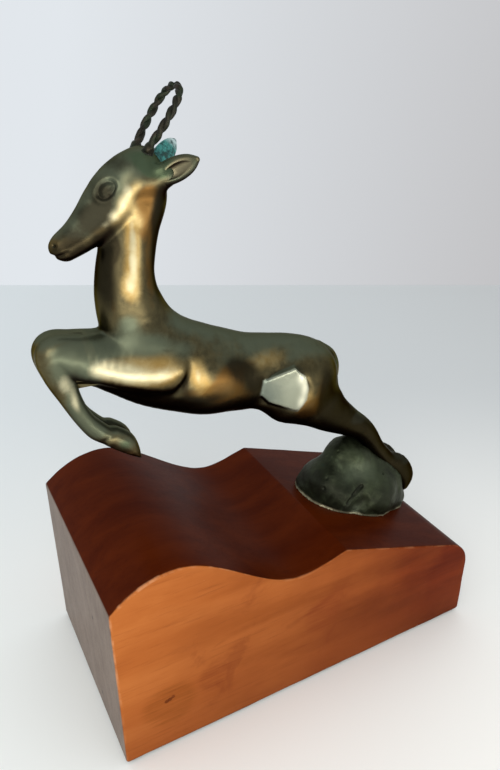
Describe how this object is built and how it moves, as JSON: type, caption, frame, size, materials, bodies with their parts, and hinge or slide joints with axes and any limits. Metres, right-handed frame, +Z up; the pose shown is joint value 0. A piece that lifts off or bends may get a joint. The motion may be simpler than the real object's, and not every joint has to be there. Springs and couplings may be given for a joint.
{
  "type": "gazelle bookend statuette",
  "caption": "Bookend statuette: a leaping bronze gazelle with twisted wire horns, held by its hind feet on a bronze rock, on a varnished wave-topped hardwood block.",
  "frame": {"origin": "centre of the underside that stands on the shelf", "axes": "+X along the block towards its low rounded end, so the gazelle leaps towards -X; +Y away from the gazelle's left flank; +Z up"},
  "size_m": [0.194, 0.1, 0.2665],
  "materials": {
    "varnished_wood": "mahogany-coloured hardwood under gloss varnish",
    "felt": "dark green felt",
    "dark_bronze": "cast bronze, dark green-grey patina, pitted",
    "bronze": "cast bronze, brown-green patina rubbed through to gold",
    "verdigris": "bronze under blue-green verdigris",
    "horn_wire": "twisted bronze wire, dark brown patina",
    "steel": "zinc-plated steel"
  },
  "bodies": {
    "root": {"wood_base": "varnished_wood", "felt_pad": "felt", "rock": "dark_bronze", "gazelle_body": "bronze", "foreleg_near": "bronze", "foreleg_far": "bronze", "ear_near": "bronze", "ear_far": "verdigris", "horn_near": "horn_wire", "horn_far": "horn_wire", "horn_solder": "verdigris", "hoof_pins": "steel", "base_screws": "steel", "screw_washers": "steel"}
  },
  "joints": []
}
